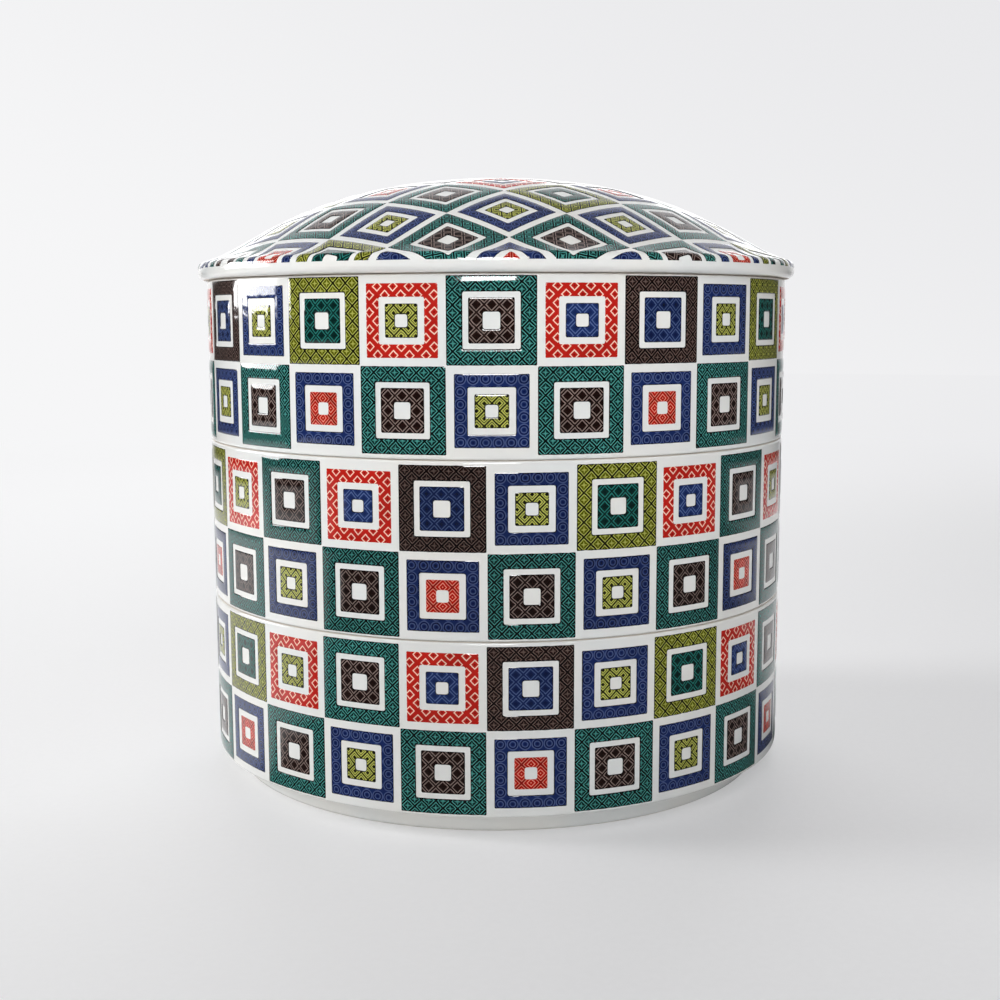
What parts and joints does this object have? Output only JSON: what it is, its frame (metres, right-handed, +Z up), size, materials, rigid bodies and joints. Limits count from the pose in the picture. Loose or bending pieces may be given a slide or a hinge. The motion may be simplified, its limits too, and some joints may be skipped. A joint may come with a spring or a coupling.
{
  "type": "tiered food box",
  "caption": "Round porcelain food box: stacked shallow tiers whose foot rings nest in the mouth below, closed by a low domed lid, with enamelled squares all over.",
  "frame": {"origin": "centre of the ring that the lowest tier's foot stands on, at the height of the table", "axes": "+Z up along the axis that every piece is turned about; -Y faces the viewer of the picture"},
  "size_m": [0.1812, 0.1812, 0.1771],
  "materials": {
    "porcelain": "gloss"
  },
  "bodies": {
    "lower_tier": {"lower_tier": "porcelain"},
    "middle_tier": {"middle_tier": "porcelain"},
    "upper_tier": {"upper_tier": "porcelain"},
    "lid": {"lid": "porcelain"}
  },
  "joints": [
    {"name": "middle_tier_lift", "type": "slide", "parent": "lower_tier", "child": "middle_tier", "axis": [0, 0, 1], "range_m": [0, 0.06]},
    {"name": "upper_tier_lift", "type": "slide", "parent": "middle_tier", "child": "upper_tier", "axis": [0, 0, 1], "range_m": [0, 0.06]},
    {"name": "lid_lift", "type": "slide", "parent": "upper_tier", "child": "lid", "axis": [0, 0, 1], "range_m": [0, 0.06]}
  ]
}
